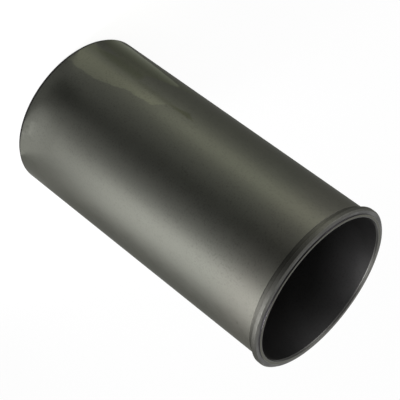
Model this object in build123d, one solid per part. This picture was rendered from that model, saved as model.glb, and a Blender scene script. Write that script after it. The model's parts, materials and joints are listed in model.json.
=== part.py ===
"""Cylinder liner: a flanged sleeve, turned and bored from a single iron casting.

Millimetres. +Z runs along the bore, from the plain end at z = 0 up to the raised lip,
and the origin lies on the bore's axis in the plane of the plain end.
"""

import os

from build123d import *

# ---- Driving sizes, mm ----
BORE_DIAMETER = 102.0
WALL = 3.25  # bore to barrel
LENGTH = 215.0  # plain end to the top of the lip

FLANGE_OVERHANG = 2.55  # how far the flange stands out from the barrel
FLANGE_THICKNESS = 3.4  # seat to upper face
FLANGE_TOP_CHAMFER = 1.0  # 45 degrees, on the flange's upper edge
FLANGE_SEAT_CHAMFER = 0.2  # 45 degrees, on the flange's lower edge

LIP_WIDTH = 2.5  # bore to the lip's outer side
LIP_HEIGHT = 0.65  # above the flange's upper face
LIP_CHAMFER = 0.2  # 45 degrees, on the lip's outer edge

RELIEF_WIDTH = 3.8  # groove under the flange, along the axis
RELIEF_DEPTH = 0.25
RELIEF_FILLET = 0.4  # where the groove meets the flange's seat

PISTON_LEAD_DEPTH = 0.75  # taper at the mouth of the bore, measured across the wall
PISTON_LEAD_LENGTH = 1.25  # the same taper, measured along the axis
BARREL_LEAD_DEPTH = 1.0  # taper at the foot of the barrel, measured across the wall
BARREL_LEAD_LENGTH = 1.5  # the same taper, measured along the axis
BORE_FOOT_CHAMFER = 0.75  # 45 degrees, at the foot of the bore

# ---- Sizes that follow ----
BORE_RADIUS = BORE_DIAMETER / 2
BARREL_RADIUS = BORE_RADIUS + WALL
FLANGE_RADIUS = BARREL_RADIUS + FLANGE_OVERHANG
LIP_RADIUS = BORE_RADIUS + LIP_WIDTH
RELIEF_RADIUS = BARREL_RADIUS - RELIEF_DEPTH

FLANGE_TOP = LENGTH - LIP_HEIGHT
FLANGE_SEAT = FLANGE_TOP - FLANGE_THICKNESS
RELIEF_FOOT = FLANGE_SEAT - RELIEF_WIDTH


def barrel_side():
    """Outside of the barrel, from its foot up to the relief groove."""
    return [
        (BARREL_RADIUS - BARREL_LEAD_DEPTH, 0),
        (BARREL_RADIUS, BARREL_LEAD_LENGTH),
        (BARREL_RADIUS, RELIEF_FOOT),
    ]


def relief_side():
    """Groove under the flange, with a 45 degree shoulder at its foot."""
    return [
        (RELIEF_RADIUS, RELIEF_FOOT + RELIEF_DEPTH),
        (RELIEF_RADIUS, FLANGE_SEAT),
    ]


def flange_side():
    """Seat, rim and upper face of the flange, from the groove to the lip."""
    return [
        (FLANGE_RADIUS - FLANGE_SEAT_CHAMFER, FLANGE_SEAT),
        (FLANGE_RADIUS, FLANGE_SEAT + FLANGE_SEAT_CHAMFER),
        (FLANGE_RADIUS, FLANGE_TOP - FLANGE_TOP_CHAMFER),
        (FLANGE_RADIUS - FLANGE_TOP_CHAMFER, FLANGE_TOP),
        (LIP_RADIUS, FLANGE_TOP),
    ]


def lip_side():
    """Raised lip around the mouth of the bore, from its outer side to its crest."""
    return [
        (LIP_RADIUS, LENGTH - LIP_CHAMFER),
        (LIP_RADIUS - LIP_CHAMFER, LENGTH),
        (BORE_RADIUS + PISTON_LEAD_DEPTH, LENGTH),
    ]


def bore_side():
    """Bore, from the piston's lead-in down to the foot."""
    return [
        (BORE_RADIUS, LENGTH - PISTON_LEAD_LENGTH),
        (BORE_RADIUS, BORE_FOOT_CHAMFER),
        (BORE_RADIUS + BORE_FOOT_CHAMFER, 0),
    ]


def wall_section():
    """Section of the wall on the +X side, with the fillet at the flange's seat."""
    corners = barrel_side() + relief_side() + flange_side() + lip_side() + bore_side()
    outline = Polyline(*[(r, 0, z) for r, z in corners], close=True)
    section = make_face(outline)
    seat_corner = section.vertices().sort_by_distance((RELIEF_RADIUS, 0, FLANGE_SEAT))[0]
    return fillet(seat_corner, RELIEF_FILLET)


def cylinder_liner():
    """The whole liner, turned about the bore's axis."""
    return revolve(wall_section(), Axis.Z)


os.makedirs("parts", exist_ok=True)
export_step(cylinder_liner(), "parts/cylinder_liner.step")
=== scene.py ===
"""Cylinder liner: a flanged sleeve in dark phosphated iron, on a pale studio floor.

Metres. +Z runs along the bore from the plain end, which stands on the floor, to the raised lip.
Angles round the liner start at the camera's side, -Y, and grow towards +X.
"""

import json
import math

import bpy
from mathutils import Matrix, Vector


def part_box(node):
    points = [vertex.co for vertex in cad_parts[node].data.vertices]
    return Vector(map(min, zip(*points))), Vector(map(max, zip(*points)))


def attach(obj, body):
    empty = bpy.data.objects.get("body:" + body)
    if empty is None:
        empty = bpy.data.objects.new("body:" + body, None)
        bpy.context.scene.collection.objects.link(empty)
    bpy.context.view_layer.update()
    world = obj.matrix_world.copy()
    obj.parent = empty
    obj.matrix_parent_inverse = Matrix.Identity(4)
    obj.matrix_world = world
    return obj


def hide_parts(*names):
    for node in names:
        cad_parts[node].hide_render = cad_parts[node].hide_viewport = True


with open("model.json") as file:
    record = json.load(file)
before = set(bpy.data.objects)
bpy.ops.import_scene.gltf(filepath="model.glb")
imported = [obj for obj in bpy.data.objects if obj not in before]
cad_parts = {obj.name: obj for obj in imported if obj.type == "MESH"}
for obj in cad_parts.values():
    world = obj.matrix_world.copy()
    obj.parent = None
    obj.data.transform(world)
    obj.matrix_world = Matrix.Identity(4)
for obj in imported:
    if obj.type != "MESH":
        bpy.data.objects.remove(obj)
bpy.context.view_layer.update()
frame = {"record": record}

MM = 0.001

# ---- Sizes the frame gives ----
low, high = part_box("cylinder_liner")
mounts = {mount["name"]: mount for mount in frame["record"]["mounts"]}
BORE_RADIUS = mounts["bore"]["dims"]["r_mm"] * MM
BARREL_RADIUS = mounts["barrel"]["dims"]["r_mm"] * MM
FLANGE_RADIUS = min(-low.x, high.x, -low.y, high.y)
LENGTH = high.z

# ---- Sizes of the turned profile ----
FLANGE_TOP = mounts["gasket_face"]["pos_m"][2]
FLANGE_SEAT = mounts["flange_seat"]["pos_m"][2]
FLANGE_TOP_CHAMFER = 1.0 * MM
FLANGE_SEAT_CHAMFER = 0.2 * MM
LIP_WIDTH = 2.5 * MM
LIP_CHAMFER = 0.2 * MM
RELIEF_WIDTH = 3.8 * MM
RELIEF_DEPTH = 0.25 * MM
PISTON_LEAD_DEPTH = 0.75 * MM
PISTON_LEAD_LENGTH = 1.25 * MM
BARREL_LEAD_DEPTH = 1.0 * MM
BARREL_LEAD_LENGTH = 1.5 * MM
BORE_FOOT_CHAMFER = 0.75 * MM
ROUND_SEGMENTS = 360
CORNER_SEGMENTS = 4
CORNER_HOLD = 1.5  # held points stand this many times as far from a corner as its rounding reaches
EDGE_MARGIN = 0.05 * MM  # how far past an edge a face's middle has to be to take the next finish
BORE_FINISH_SHARE = 0.4  # of the piston lead's depth. Its own face, with its middle at half, stays with the rim.
RADIUS, HEIGHT, ROUNDING, WEAR = range(4)  # columns of the corner table


# ---- Node trees written as sums ----
MIX_A, MIX_B, MIX_RESULT = 6, 7, 2  # a Mix node's sockets for colours


class Wire:
    """One output of a node tree. Arithmetic on it adds Math nodes to the tree."""

    def __init__(self, bench, socket):
        self.bench, self.socket = bench, socket

    def maths(self, operation, *values):
        """A Math node on the values alone. This wire only says in which tree."""
        return self.bench.add("ShaderNodeMath", {"operation": operation}, dict(enumerate(values)))

    def __add__(self, other):
        return self.maths("ADD", self, other)

    def __sub__(self, other):
        return self.maths("SUBTRACT", self, other)

    def __rsub__(self, other):
        return self.maths("SUBTRACT", other, self)

    def __mul__(self, other):
        return self.maths("MULTIPLY", self, other)

    def __truediv__(self, other):
        return self.maths("DIVIDE", self, other)

    def __mod__(self, other):
        return self.maths("FLOORED_MODULO", self, other)

    def __pow__(self, other):
        return self.maths("POWER", self, other)

    def __neg__(self):
        return self.maths("MULTIPLY", self, -1.0)

    def __abs__(self):
        return self.maths("ABSOLUTE", self)

    __radd__, __rmul__ = __add__, __mul__

    def at_most(self, other):
        return self.maths("MINIMUM", self, other)

    def at_least(self, other):
        return self.maths("MAXIMUM", self, other)

    def over(self, edge):
        return self.maths("GREATER_THAN", self, edge)

    def under(self, edge):
        return self.maths("LESS_THAN", self, edge)

    def root(self):
        return self.maths("SQRT", self)

    def ramp(self, start, end):
        """0 at start, 1 at end, eased at both; start may be the larger."""
        if start > end:
            return 1 - self.ramp(end, start)
        return self.bench.add("ShaderNodeMapRange", {"interpolation_type": "SMOOTHSTEP"},
                              {"Value": self, "From Min": start, "From Max": end})

    def band(self, middle, half, soft):
        """1 within half of middle, falling to 0 over soft."""
        return abs(self - middle).ramp(half + soft, half)

    def output(self, name):
        """Another output of the same node."""
        return Wire(self.bench, self.socket.node.outputs[name])


class Bench:
    """A node tree being built. Every node that isn't a Math node comes from add."""

    def __init__(self, tree):
        self.tree = tree
        tree.nodes.clear()

    def add(self, kind, settings=None, inputs=None, output=0):
        """A node of that kind, its settings made first, then its sockets given values or wires."""
        node = self.tree.nodes.new(kind)
        for name, value in (settings or {}).items():
            if name == "items":
                while len(node.index_switch_items) < value:
                    node.index_switch_items.new()
            else:
                setattr(node, name, value)
        for name, value in (inputs or {}).items():
            socket = node.inputs[name]
            if isinstance(value, Wire):
                self.tree.links.new(value.socket, socket)
            else:
                socket.default_value = value
        return Wire(self, node.outputs[output]) if len(node.outputs) else node

    def point(self, x, y, z):
        return self.add("ShaderNodeCombineXYZ", None, {"X": x, "Y": y, "Z": z})

    def vector(self, operation, a, b, output=0):
        return self.add("ShaderNodeVectorMath", {"operation": operation}, {0: a, 1: b}, output)

    def scaled(self, vector, size):
        return self.add("ShaderNodeVectorMath", {"operation": "SCALE"}, {0: vector, "Scale": size})

    def blend(self, share, a, b):
        """Colour a where share is 0, colour b where it is 1."""
        return self.add("ShaderNodeMix", {"data_type": "RGBA"}, {0: share, MIX_A: a, MIX_B: b}, MIX_RESULT)

    def stain(self, share, colour, factor):
        """The colour times the factor where share is 1."""
        return self.add("ShaderNodeMix", {"data_type": "RGBA", "blend_type": "MULTIPLY"},
                        {0: share, MIX_A: colour, MIX_B: (*factor, 1.0)}, MIX_RESULT)


# ---- The liner's shape ----
def turned_liner_tree(finishes):
    """Geometry Nodes: the half section's corners, held and rounded, then swept round the bore's axis."""
    tree = bpy.data.node_groups.new("turned_liner", "GeometryNodeTree")
    bench = Bench(tree)
    sizes = {
        "bore radius": BORE_RADIUS, "barrel radius": BARREL_RADIUS, "flange radius": FLANGE_RADIUS,
        "length": LENGTH, "flange top": FLANGE_TOP, "flange seat": FLANGE_SEAT,
        "flange top chamfer": FLANGE_TOP_CHAMFER, "flange seat chamfer": FLANGE_SEAT_CHAMFER,
        "lip width": LIP_WIDTH, "lip chamfer": LIP_CHAMFER,
        "relief width": RELIEF_WIDTH, "relief depth": RELIEF_DEPTH,
        "piston lead depth": PISTON_LEAD_DEPTH, "piston lead length": PISTON_LEAD_LENGTH,
        "barrel lead depth": BARREL_LEAD_DEPTH, "barrel lead length": BARREL_LEAD_LENGTH,
        "bore foot chamfer": BORE_FOOT_CHAMFER,
    }
    tree.interface.new_socket("Geometry", in_out="INPUT", socket_type="NodeSocketGeometry")
    for name in sizes:
        tree.interface.new_socket(name, in_out="INPUT", socket_type="NodeSocketFloat")
    tree.interface.new_socket("Geometry", in_out="OUTPUT", socket_type="NodeSocketGeometry")
    given = bench.add("NodeGroupInput")
    s = {name: given.output(name) for name in sizes}

    lip = s["bore radius"] + s["lip width"]
    relief = s["barrel radius"] - s["relief depth"]
    relief_foot = s["flange seat"] - s["relief width"]
    crest = s["bore radius"] + s["piston lead depth"]
    corners = [  # radius, height, rounding, wear of the edge
        (s["barrel radius"] - s["barrel lead depth"], 0.0, 0.20 * MM, 0.6),
        (s["barrel radius"], s["barrel lead length"], 0.50 * MM, 0.7),
        (s["barrel radius"], relief_foot, 0.25 * MM, 0.1),
        (relief, relief_foot + s["relief depth"], 0.25 * MM, 0.0),
        (relief, s["flange seat"], 0.40 * MM, 0.0),
        (s["flange radius"] - s["flange seat chamfer"], s["flange seat"], 0.08 * MM, 0.3),
        (s["flange radius"], s["flange seat"] + s["flange seat chamfer"], 0.08 * MM, 0.3),
        (s["flange radius"], s["flange top"] - s["flange top chamfer"], 0.30 * MM, 0.15),
        (s["flange radius"] - s["flange top chamfer"], s["flange top"], 0.45 * MM, 0.2),
        (lip, s["flange top"], 0.12 * MM, 0.0),
        (lip, s["length"] - s["lip chamfer"], 0.10 * MM, 0.9),
        (lip - s["lip chamfer"], s["length"], 0.10 * MM, 1.0),
        (crest, s["length"], 0.15 * MM, 1.0),
        (s["bore radius"], s["length"] - s["piston lead length"], 0.60 * MM, 0.3),
        (s["bore radius"], s["bore foot chamfer"], 0.30 * MM, 0.3),
        (s["bore radius"] + s["bore foot chamfer"], 0.0, 0.15 * MM, 0.5),
    ]
    count = len(corners)

    def pick(index, column):
        return bench.add("GeometryNodeIndexSwitch", {"data_type": "FLOAT", "items": count},
                         {"Index": index, **{i + 1: c[column] for i, c in enumerate(corners)}})

    place = bench.add("GeometryNodeInputIndex")
    section = bench.add("GeometryNodePoints", None, {
        "Count": count, "Position": bench.point(pick(place, RADIUS), pick(place, HEIGHT), 0.0)})

    # Three points for each corner: one held before it, the corner itself, and one held after it.
    third = place / 3 + 0.001  # a little over, so that a whole third isn't floored to the one before
    corner = third.maths("FLOOR", third)
    turn = place - corner * 3

    def corner_point(index):
        return bench.add("GeometryNodeSampleIndex", {"data_type": "FLOAT_VECTOR"},
                         {"Geometry": section, "Value": bench.add("GeometryNodeInputPosition"), "Index": index})

    here = corner_point(corner)

    def way_to(index):
        return bench.vector("NORMALIZE", bench.vector("SUBTRACT", corner_point(index % count), here), here)

    back, ahead = way_to(corner + (count - 1)), way_to(corner + 1)
    bend = bench.vector("DOT_PRODUCT", back, ahead, "Value")
    rounding = pick(corner, ROUNDING)
    hold = rounding * ((1 + bend) / (1 - bend)).root() * CORNER_HOLD
    middle = turn.band(1.0, 0.4, 0.1)
    before, after = turn.under(0.5), turn.over(1.5)
    stepped = bench.vector("ADD", here, bench.vector(
        "ADD", bench.scaled(back, hold * before), bench.scaled(ahead, hold * after)))
    held = bench.add("GeometryNodePoints", None, {"Count": 3 * count, "Position": stepped})
    held = bench.add("GeometryNodeStoreNamedAttribute", {"data_type": "FLOAT", "domain": "POINT"},
                     {"Geometry": held, "Name": "edge_wear", "Value": pick(corner, WEAR) * middle})
    held = bench.add("GeometryNodeStoreNamedAttribute", {"data_type": "FLOAT", "domain": "POINT"},
                     {"Geometry": held, "Name": "rounding", "Value": rounding * middle})
    outline = bench.add("GeometryNodePointsToCurves", None, {"Points": held})
    outline = bench.add("GeometryNodeSetSplineCyclic", None, {"Geometry": outline, "Cyclic": True})
    radius = bench.add("GeometryNodeInputNamedAttribute", {"data_type": "FLOAT"}, {"Name": "rounding"})
    outline = bench.add("GeometryNodeFilletCurve", {"mode": "POLY"},
                        {"Curve": outline, "Radius": radius, "Count": radius.over(0.0) * CORNER_SEGMENTS})
    # The sweep path is a circle of the bore's radius, so the section starts from the bore.
    outline = bench.add("GeometryNodeTransform", None,
                        {"Geometry": outline, "Translation": bench.point(-s["bore radius"], 0.0, 0.0),
                         "Scale": (1.0, -1.0, 1.0)})
    path = bench.add("GeometryNodeCurvePrimitiveCircle", {"mode": "RADIUS"},
                     {"Resolution": ROUND_SEGMENTS, "Radius": s["bore radius"]})
    path = bench.add("GeometryNodeSetCurveNormal", {"mode": "Z_UP"}, {"Curve": path})
    solid = bench.add("GeometryNodeCurveToMesh", None, {"Curve": path, "Profile Curve": outline})
    solid = bench.add("GeometryNodeFlipFaces", None, {"Mesh": solid})
    solid = bench.add("GeometryNodeSetShadeSmooth", None, {"Geometry": solid, "Shade Smooth": True})

    spot = bench.add("ShaderNodeSeparateXYZ", None, {0: bench.add("GeometryNodeInputPosition")})
    reach = (spot * spot + spot.output("Y") * spot.output("Y")).root()
    height = spot.output("Z")
    in_bore = reach.under(s["bore radius"] + s["piston lead depth"] * BORE_FINISH_SHARE)
    # The bevel round the flange's top and all above it. The bevel's finish is lighter in colour as painted light.
    on_chamfer = height.over(s["flange top"] - s["flange top chamfer"] + EDGE_MARGIN)
    on_rim = on_chamfer * (1 - reach.over(s["flange radius"] - s["flange top chamfer"] + EDGE_MARGIN))
    # The foot's bevel, whose finish is painted nearly black as painted shade under the plain end.
    on_painted_dark_foot = height.under(s["barrel lead length"] - 2 * EDGE_MARGIN)
    solid = bench.add("GeometryNodeRealizeInstances", None, {"Geometry": solid})
    for finish, where in (
            (finishes["barrel"], True), (finishes["foot"], on_painted_dark_foot), (finishes["chamfer"], on_chamfer),
            (finishes["rim"], on_rim), (finishes["bore"], in_bore)):
        solid = bench.add("GeometryNodeSetMaterial", None,
                          {"Geometry": solid, "Selection": where, "Material": finish})
    bench.add("NodeGroupOutput", None, {"Geometry": solid})
    return tree, sizes


def baked(name, tree, sizes):
    """The tree's result as a plain mesh object at the origin."""
    piece = bpy.data.objects.new(name, bpy.data.meshes.new(name))
    bpy.context.scene.collection.objects.link(piece)
    modifier = piece.modifiers.new("shape", "NODES")
    modifier.node_group = tree
    for item in tree.interface.items_tree:
        if item.in_out == "INPUT" and item.name in sizes:
            modifier[item.identifier] = sizes[item.name]
    result = bpy.data.meshes.new_from_object(piece.evaluated_get(bpy.context.evaluated_depsgraph_get()))
    result.name = name
    piece.modifiers.remove(modifier)
    piece.data = result
    return piece


# ---- Finishes ----
BLACK = (0.0, 0.0, 0.0, 1.0)
WHITE = (1.0, 1.0, 1.0, 1.0)
WORN_METAL = (0.13, 0.127, 0.108, 1.0)
CRYSTAL_SIZE = 0.5 * MM
MOTTLE_SIZE = 1.2 * MM
CLOUD_SIZE = 9.0 * MM
TURNING_LINE_SIZE = 0.35 * MM
ROUND_THE_LINER = (0.02, 0.02, 1.0)  # squeezes noise so that it runs in rings
BUMP_DEPTH = 0.012 * MM
RAGGED_EDGE_SIZE = 7.0 * MM
FACE_LIGHT_PATCH_SIZE = 12.0 * MM
PLAIN_TONE, CLOUD_TONE, MOTTLE_TONE, CRYSTAL_TONE = 0.28, 0.20, 0.84, 0.40  # shares of the colour
TURNING_LINE_BUMP = 0.6  # against the crystals
CLOUD_ROUGH, CRYSTAL_ROUGH, WORN_SMOOTH = 0.06, 0.04, 0.08
WORN_SHARE = 0.5
PISTON_LEAD_SMOOTH = 0.12
OIL_COAT = 0.27
OIL_ROUGHNESS = 0.3

# What each mark multiplies the metal's colour by.
# Painted shade in the relief groove under the flange.
RELIEF_PAINTED_SHADE = (0.54, 0.54, 0.55)
# Painted shade on the flange's side.
FLANGE_SIDE_PAINTED_SHADE = (0.74, 0.74, 0.77)
# Painted shade just above the foot.
FOOT_PAINTED_SHADE = (0.45, 0.44, 0.50)
UPPER_BARREL_SHADE = (1.03, 1.0, 1.0)
OIL_RUN_SHADE = (1.35, 1.35, 1.26)
# The oil's tongue: a green oil tint with a painted sheen.
OIL_PAINTED_SHEEN = (1.85, 2.00, 1.50)
OLIVE_OIL_SHADE = (1.01, 1.03, 0.93)
OIL_VALLEY_SHADE = (0.86, 0.87, 0.84)
OIL_STREAK_SHADE = (0.92, 0.92, 0.89)
OIL_LEAF_SHADE = (0.84, 0.85, 0.76)
DARK_SPOT_SHADE = (0.5, 0.5, 0.5)
# Painted shade on the lip's outer wall.
LIP_WALL_PAINTED_SHADE = (0.45, 0.42, 0.50)
LIP_CREST_SHADE = (1.03, 1.03, 0.74)
# Painted light on the flange's upward face.
FACE_PAINTED_LIGHT = (1.75, 1.75, 1.76)
PISTON_LEAD_SHADE = (0.62, 0.62, 0.60)

# Where the barrel's marks are: degrees round it, the lesser on the left, and millimetres up it. A fade is where a
# mark starts and where it is full. A band is its middle, its half width, and how far beyond that it fades.
UPPER_BARREL_FADE = (160.0, 200.0)
RUN_RIGHT, RUN_LEAN, RUN_LEAN_FADE, RUN_LEFT_FADE = -30.6, 8, (57.0, 25.0), (-44.0, -33.0)
RUN_MIDDLE, RUN_TOP, RUN_SLOPE = -37.5, 76, 0.5
SHEEN_LEFT, SHEEN_PEAK, SHEEN_TOP, SHEEN_ARCH, SHEEN_FADE = -68.0, -64, 66, 0.2, (-54.0, -78.0)
SHEEN_LEAN_FROM, SHEEN_LEAN, SHEEN_TURN_FROM, SHEEN_TURN = 60, 0.15, 12, 0.35
WEDGE_MIDDLE, WEDGE_TOP, WEDGE_SPREAD = -50.5, 27, 0.27
OLIVE_BEND, OLIVE_TOP, OLIVE_CLIMB = -51, 48, 1.7
OLIVE_LEFT_FADE, OLIVE_RIGHT_FADE = (-78.0, -72.0), (-38.0, -46.0)
VALLEY_BAND, VALLEY_TOP, VALLEY_FOOT_FADE = (-46.0, 1.0, 5.0), 48, (4.0, 20.0)
STREAK_BAND, STREAK_HEIGHTS = (-41.4, 0.7, 2.0), (72.0, 20.0, 8.0)
LEAF_RIGHT, LEAF_WIDTH, LEAF_RIGHT_FADE = -41, 5.2, (-40.0, -41.6)
LEAF_WIDEST, LEAF_RISE, LEAF_DROP = 91, 8.5, 15
DARK_SPOT_ANGLE, DARK_SPOT_HEIGHT, DARK_SPOT_HALF_TURN, DARK_SPOT_HALF_HEIGHT = 55, 197.2, 0.9, 0.5


def new_finish(name):
    """A new material, and the bench for its node tree."""
    material = bpy.data.materials.new(name)
    material.use_nodes = True
    return material, Bench(material.node_tree)


def grain(bench, place, size, detail=2.0):
    """Even noise, about 0.5 on average, with spots of the given size in metres."""
    return bench.add("ShaderNodeTexNoise", None, {"Vector": place, "Scale": 1.0 / size, "Detail": detail})


def oil_film(bench, angle, height, wobble, shade):
    """Oil dried on near the plain end, its tongue's sheen partly painted. Gives the shade with the film on it, and
    how far the film shines.
    """
    # A pale run, soft on its left. Its ragged right edge leans out towards the foot.
    run_right = wobble * 7 + RUN_RIGHT + height.ramp(*RUN_LEAN_FADE) * RUN_LEAN
    run_top = wobble * 8 + RUN_TOP - (angle - RUN_MIDDLE) * RUN_SLOPE
    run = (run_right - angle).ramp(0.0, 1.2) * angle.ramp(*RUN_LEFT_FADE) * (run_top - height).ramp(0.0, 2.0)
    shade = bench.stain(run, shade, OIL_RUN_SHADE)

    # A tongue of oil further round, sharp on its left, which leans out but turns in again near the foot.
    lean = (SHEEN_LEAN_FROM - height) * SHEEN_LEAN
    turn = (SHEEN_TURN_FROM - height).at_least(0.0) * SHEEN_TURN
    beyond_left = wobble * 4 + angle - SHEEN_LEFT + lean - turn
    sheen_top = wobble * 8 + SHEEN_TOP - (angle - SHEEN_PEAK) ** 2 * SHEEN_ARCH
    sheen = beyond_left.ramp(0.0, 1.5) * angle.ramp(*SHEEN_FADE) * (sheen_top - height).ramp(0.0, 2.5)
    # Its coat is real oil; its lighter colour is a painted sheen.
    shade = bench.stain(sheen, shade, OIL_PAINTED_SHEEN)

    # Thin olive oil from the tongue to the run, higher on the left, and a bare wedge that rises from the foot.
    bare = (wobble * 6 + (WEDGE_TOP - height) * WEDGE_SPREAD - abs(angle - WEDGE_MIDDLE)).ramp(0.0, 2.5)
    olive_top = wobble * 8 + OLIVE_TOP - (angle - OLIVE_BEND).at_most(0.0) * OLIVE_CLIMB
    olive = angle.ramp(*OLIVE_LEFT_FADE) * angle.ramp(*OLIVE_RIGHT_FADE) * (olive_top - height).ramp(0.0, 2.5)
    shade = bench.stain(olive * (1 - bare), shade, OLIVE_OIL_SHADE)

    # A darker valley against the run, a faint streak above it, and half a dark leaf at the streak's head.
    valley = angle.band(*VALLEY_BAND) * (wobble * 8 + VALLEY_TOP - height).ramp(0.0, 2.0) * (1 - bare)
    shade = bench.stain(valley * height.ramp(*VALLEY_FOOT_FADE), shade, OIL_VALLEY_SHADE)
    shade = bench.stain(angle.band(*STREAK_BAND) * height.band(*STREAK_HEIGHTS), shade, OIL_STREAK_SHADE)
    above, below = (height - LEAF_WIDEST).at_least(0.0), (LEAF_WIDEST - height).at_least(0.0)
    from_middle = (LEAF_RIGHT - angle) / LEAF_WIDTH + above / LEAF_RISE + below / LEAF_DROP
    leaf = (from_middle + wobble * 0.6).ramp(1.0, 0.7) * angle.ramp(*LEAF_RIGHT_FADE)
    return bench.stain(leaf, shade, OIL_LEAF_SHADE), sheen


def barrel_marks(bench, place, shade, rough):
    """Painted shade on the turned relief, flange side and foot, a plain-end oil film with a painted sheen, a dark
    spot.
    """
    spot = bench.add("ShaderNodeSeparateXYZ", None, {0: place})
    angle = spot.maths("ARCTAN2", spot, -spot.output("Y")) / math.radians(1.0)
    height = spot.output("Z") / MM
    seat, relief_foot = FLANGE_SEAT / MM, (FLANGE_SEAT - RELIEF_WIDTH) / MM
    foot = BARREL_LEAD_LENGTH / MM
    # Painted shade in the relief groove under the flange.
    relief = height.ramp(relief_foot - 0.25, relief_foot + 0.15) * height.ramp(seat + 0.15, seat - 0.05)
    shade = bench.stain(relief, shade, RELIEF_PAINTED_SHADE)
    # Painted shade on the flange's side, from the seat up.
    shade = bench.stain(height.ramp(seat - 0.05, seat + 0.15), shade, FLANGE_SIDE_PAINTED_SHADE)
    # Painted shade on the barrel just above the foot's bevel.
    shade = bench.stain(height.ramp(foot + 1.1, foot + 0.2), shade, FOOT_PAINTED_SHADE)
    shade = bench.stain(height.ramp(*UPPER_BARREL_FADE), shade, UPPER_BARREL_SHADE)
    wobble = grain(bench, place, RAGGED_EDGE_SIZE, 4.0) - 0.5
    shade, sheen = oil_film(bench, angle, height, wobble, shade)
    round_it, up_it = (angle - DARK_SPOT_ANGLE) / DARK_SPOT_HALF_TURN, (height - DARK_SPOT_HEIGHT) / DARK_SPOT_HALF_HEIGHT
    dark_spot = (round_it ** 2 + up_it ** 2).ramp(1.4, 0.6)
    return bench.stain(dark_spot, shade, DARK_SPOT_SHADE), rough, sheen * OIL_COAT


def rim_marks(bench, place, shade, rough):
    """Painted shade on the lip's walls, its warmer crest, and painted light in patches on the flange's face."""
    spot = bench.add("ShaderNodeSeparateXYZ", None, {0: place})
    reach = (spot * spot + spot.output("Y") * spot.output("Y")).root() / MM
    height = spot.output("Z") / MM
    lip, top = (BORE_RADIUS + LIP_WIDTH) / MM, LENGTH / MM
    lead_edge = (BORE_RADIUS + PISTON_LEAD_DEPTH) / MM
    # Painted shade down the lip's outer wall and in the crease at its foot.
    wall = reach.ramp(lip - 0.15, lip - 0.05) * reach.ramp(lip + 0.25, lip + 0.1)
    shade = bench.stain(wall, shade, LIP_WALL_PAINTED_SHADE)
    crest = reach.ramp(lead_edge + 0.45, lead_edge + 0.55) * reach.ramp(lip - 0.1, lip - 0.2)
    shade = bench.stain(crest, shade, LIP_CREST_SHADE)
    # Painted light on the flange's upward face, laid on in uneven patches.
    face_painted_light = reach.ramp(lip + 0.25, lip + 0.4) * grain(bench, place, FACE_LIGHT_PATCH_SIZE, 3.0).ramp(0.35, 0.65)
    shade = bench.stain(face_painted_light, shade, FACE_PAINTED_LIGHT)
    lead = height.ramp(top - 0.1, top - 0.3) * reach.ramp(lead_edge + 0.45, lead_edge + 0.15)
    shade = bench.stain(lead, shade, PISTON_LEAD_SHADE)
    return shade, rough - lead * PISTON_LEAD_SMOOTH, 0.0


def phosphate(name, colour, roughness, edge_tint, marks=None, metallic=1.0):
    """Dark phosphated iron: fine crystals, mottling and turning lines, worn brighter on the edges."""
    material, bench = new_finish(name)
    place = bench.add("ShaderNodeTexCoord", None, None, "Object")
    crystals = grain(bench, place, CRYSTAL_SIZE)
    mottle = grain(bench, place, MOTTLE_SIZE, 3.0)
    clouds = grain(bench, place, CLOUD_SIZE, 3.0)
    lines = grain(bench, bench.vector("MULTIPLY", place, ROUND_THE_LINER), TURNING_LINE_SIZE)
    tone = PLAIN_TONE + clouds * CLOUD_TONE + mottle * MOTTLE_TONE + crystals * CRYSTAL_TONE
    shade = bench.blend(tone, BLACK, colour)
    worn = bench.add("ShaderNodeAttribute", {"attribute_name": "edge_wear"}, None, "Fac")
    shade = bench.blend(worn * WORN_SHARE, shade, WORN_METAL)
    smoothest = roughness - (CLOUD_ROUGH + CRYSTAL_ROUGH) / 2  # noise is 0.5 on average
    rough = smoothest + clouds * CLOUD_ROUGH + crystals * CRYSTAL_ROUGH - worn * WORN_SMOOTH
    oil = 0.0
    if marks:
        shade, rough, oil = marks(bench, place, shade, rough)
    bump = bench.add("ShaderNodeBump", None, {
        "Strength": 1.0, "Distance": BUMP_DEPTH, "Height": crystals + lines * TURNING_LINE_BUMP})
    shader = bench.add("ShaderNodeBsdfPrincipled", None, {
        "Base Color": shade, "Metallic": metallic, "Roughness": rough, "Normal": bump,
        "Specular Tint": (*edge_tint, 1.0), "Coat Weight": oil, "Coat Roughness": OIL_ROUGHNESS})
    bench.add("ShaderNodeOutputMaterial", None, {"Surface": shader})
    return material


finishes = {  # name, colour, roughness, tint at a grazing angle
    "barrel": phosphate("phosphated_barrel", (0.0496, 0.0508, 0.0436, 1.0), 0.50, (0.54, 0.54, 0.52),
                        barrel_marks),
    # The foot's bevel: the same phosphate painted nearly black, painted shade under the plain end.
    "foot": phosphate("phosphated_foot_painted_shade", (0.014, 0.0145, 0.013, 1.0), 0.50, (0.15, 0.15, 0.15)),
    # The bevel round the flange's top: smoother, and lighter in colour as painted light on its upward face.
    "chamfer": phosphate("smooth_chamfer_painted_light", (0.083, 0.083, 0.076, 1.0), 0.33, (0.55, 0.55, 0.54)),
    "rim": phosphate("phosphated_rim", (0.053, 0.053, 0.050, 1.0), 0.42, (1.0, 1.0, 1.0), rim_marks),
    "bore": phosphate("honed_bore", (0.050, 0.0495, 0.0485, 1.0), 0.41, (0.5, 0.5, 0.5), metallic=0.975),
}

liner = baked("turned_liner", *turned_liner_tree(finishes))
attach(liner, "root")
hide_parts("cylinder_liner")

# ---- Studio ----
FLOOR_COLOUR = (0.90, 0.90, 0.90, 1.0)
FLOOR_WHITE = 0.85  # share of plain white where the floor is seen or mirrored
FLOOR_HALF = 6.0


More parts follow.
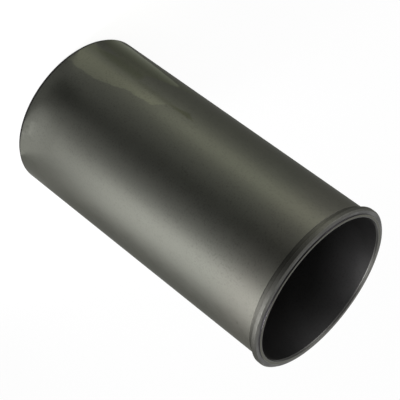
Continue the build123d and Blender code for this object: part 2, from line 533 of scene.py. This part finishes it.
def shown_rays(bench):
    """1 on camera, glossy and transmission rays."""
    rays = bench.add("ShaderNodeLightPath", None, None, "Is Camera Ray")
    return rays.at_least(rays.output("Is Glossy Ray")).at_least(rays.output("Is Transmission Ray"))


world = bpy.data.worlds.new("studio")
world.use_nodes = True
bpy.context.scene.world = world
bench = Bench(world.node_tree)
bench.add("ShaderNodeOutputWorld", None, {"Surface": bench.add("ShaderNodeBackground", None, {
    "Color": WHITE, "Strength": 1.0})})


def flat_sheet(name, x, y):
    """A level rectangle that reaches x and y each way from its middle."""
    sheet = bpy.data.meshes.new(name)
    sheet.from_pydata([(-x, -y, 0), (x, -y, 0), (x, y, 0), (-x, y, 0)], [], [(0, 1, 2, 3)])
    return sheet


floor = bpy.data.objects.new("floor", flat_sheet("floor", FLOOR_HALF, FLOOR_HALF))
bpy.context.scene.collection.objects.link(floor)
material, bench = new_finish("pale_floor")
matt = bench.add("ShaderNodeBsdfDiffuse", None, {"Color": FLOOR_COLOUR})
white = bench.add("ShaderNodeEmission", None, {"Color": WHITE, "Strength": 1.0})
bench.add("ShaderNodeOutputMaterial", None, {"Surface": bench.add(
    "ShaderNodeMixShader", None, {0: shown_rays(bench) * FLOOR_WHITE, 1: matt, 2: white})})
floor.data.materials.append(material)

# ---- Camera ----
CAMERA_PLACE = Vector((0.0, -0.76295, 0.51836))
CAMERA_AIM = Vector((0.00021, 0.0, 0.11273))
CAMERA_ROLL = math.radians(126.794)
LENS, SENSOR_WIDTH = 123.47, 36.0
NEAREST, FURTHEST = 0.05, 50.0
eye = bpy.data.objects.new("camera", bpy.data.cameras.new("camera"))
eye.data.lens, eye.data.sensor_width = LENS, SENSOR_WIDTH
eye.data.clip_start, eye.data.clip_end = NEAREST, FURTHEST
towards_liner = (CAMERA_AIM - CAMERA_PLACE).to_track_quat("-Z", "Y")
eye.matrix_world = Matrix.LocRotScale(CAMERA_PLACE, towards_liner, None) @ Matrix.Rotation(CAMERA_ROLL, 4, "Z")
bpy.context.scene.collection.objects.link(eye)
bpy.context.scene.camera = eye

# ---- Lamps and cards ----
UP, LEVEL = Vector((0.0, 0.0, 1.0)), Vector((1.0, 1.0, 0.0))
KEY_TINT = (1.0, 0.99, 1.02)
SIDE_TINT = (0.99, 1.0, 0.82)
# Each panel serves one line down the barrel or the bore. It is set out from that line along the level way in which
# the metal throws the camera's sight. A standing panel is NEAR the barrel or OVER_BORE, and its start is its lower
# edge's height. A panel on the FLOOR lies along that way, and its start is how far out its near edge is.
NEAR, OVER_BORE, FLOOR = 0.102, 0.075, 0.0
APRON_LIFT = 0.002
LAMPS = [  # name, angle of the line, how far out, start, extent, width, brightness (1 is white), colour
    ("key_glow", 36.0, NEAR, 0.217, 0.040, 0.06, 52.0, KEY_TINT),
    ("key_upper", 36.0, NEAR, 0.090, 0.122, 0.09, 7.6, KEY_TINT),
    ("key_lower", 36.0, NEAR, 0.003, 0.087, 0.09, 8.1, KEY_TINT),
    ("key_apron", 31.0, FLOOR, 0.005, 0.093, 0.05, 3.3, KEY_TINT),
    ("key_apron_side", 56.0, FLOOR, 0.001, 0.097, 0.06, 0.75, KEY_TINT),
    ("key_core_upper", 27.0, NEAR, 0.090, 0.122, 0.03, 8.1, KEY_TINT),
    ("key_core_lower", 27.0, NEAR, 0.003, 0.087, 0.03, 6.1, KEY_TINT),
    ("key_core_apron", 26.0, FLOOR, 0.002, 0.096, 0.034, 1.9, KEY_TINT),
    ("side_glow", -40.0, NEAR, 0.217, 0.040, 0.07, 9.0, KEY_TINT),
    ("side_core_glow", -32.0, NEAR, 0.217, 0.040, 0.03, 11.0, KEY_TINT),
    ("side_core_upper", -32.0, NEAR, 0.090, 0.122, 0.03, 6.4, SIDE_TINT),
    ("side_core_lower", -32.0, NEAR, 0.003, 0.087, 0.03, 6.2, SIDE_TINT),
    ("side_core_apron", -32.0, FLOOR, 0.001, 0.097, 0.03, 0.95, SIDE_TINT),
    ("mouth_key", -146.0, OVER_BORE, 0.219, 0.056, 0.040, 6.8, KEY_TINT),
    ("mouth_side", 148.0, OVER_BORE, 0.219, 0.056, 0.035, 4.6, KEY_TINT),
]
CARDS = [  # name, angle of the line, how far out, start, extent, width
    ("dark_card", -1.0, NEAR, 0.0, 0.37, 0.08),
    ("dark_apron", -2.0, FLOOR, 0.012, 0.090, 0.028),
]


def lit_line(angle):
    """The line's foot, and the level way out from it in which the metal throws the camera's sight.

    The line is on the barrel, or on the bore's far wall where the angle is more than a quarter turn.
    """
    turn = math.radians(angle)
    outward = Vector((math.sin(turn), -math.cos(turn), 0.0))
    start = outward * (BARREL_RADIUS if abs(angle) < 90.0 else BORE_RADIUS)
    sight = (CAMERA_PLACE - start) * LEVEL
    way = -sight.normalized().reflect(outward)
    return start, way


def panel_place(angle, out, start, extent):
    """Where a panel goes whose face looks along its own -Z, with its length along its own Y."""
    foot, way = lit_line(angle)
    if out > FLOOR:
        middle, back, length = foot + way * out + UP * (start + extent / 2), way, UP
    else:
        middle, back, length = foot + way * (start + extent / 2) + UP * APRON_LIFT, -UP, way
    return Matrix.Translation(middle) @ Matrix((length.cross(back), length, back)).transposed().to_4x4()


def lamp(name, angle, out, start, extent, width, brightness, colour):
    """A glowing panel that the camera sees only in reflections."""
    light = bpy.data.lights.new(name, "AREA")
    light.shape, light.size, light.size_y = "RECTANGLE", width, extent
    light.energy = brightness * math.pi * width * extent  # the watts that make the panel look that bright
    light.color = colour
    panel = bpy.data.objects.new(name, light)
    panel.matrix_world = panel_place(angle, out, start, extent)
    panel.visible_camera = False
    bpy.context.scene.collection.objects.link(panel)


def card(name, angle, out, start, extent, width):
    """A black card that only reflections see. It draws a dark line down the metal."""
    sheet = flat_sheet(name, width / 2, extent / 2)
    sheet.transform(panel_place(angle, out, start, extent))
    sheet.materials.append(CARD_BLACK)
    thing = bpy.data.objects.new(name, sheet)
    thing.visible_camera = thing.visible_diffuse = thing.visible_shadow = thing.visible_transmission = False
    bpy.context.scene.collection.objects.link(thing)


CARD_BLACK, bench = new_finish("card_black")
bench.add("ShaderNodeOutputMaterial", None, {
    "Surface": bench.add("ShaderNodeBsdfDiffuse", None, {"Color": BLACK})})
for row in LAMPS:
    lamp(*row)
for row in CARDS:
    card(*row)

bpy.context.scene.view_settings.view_transform = "Standard"
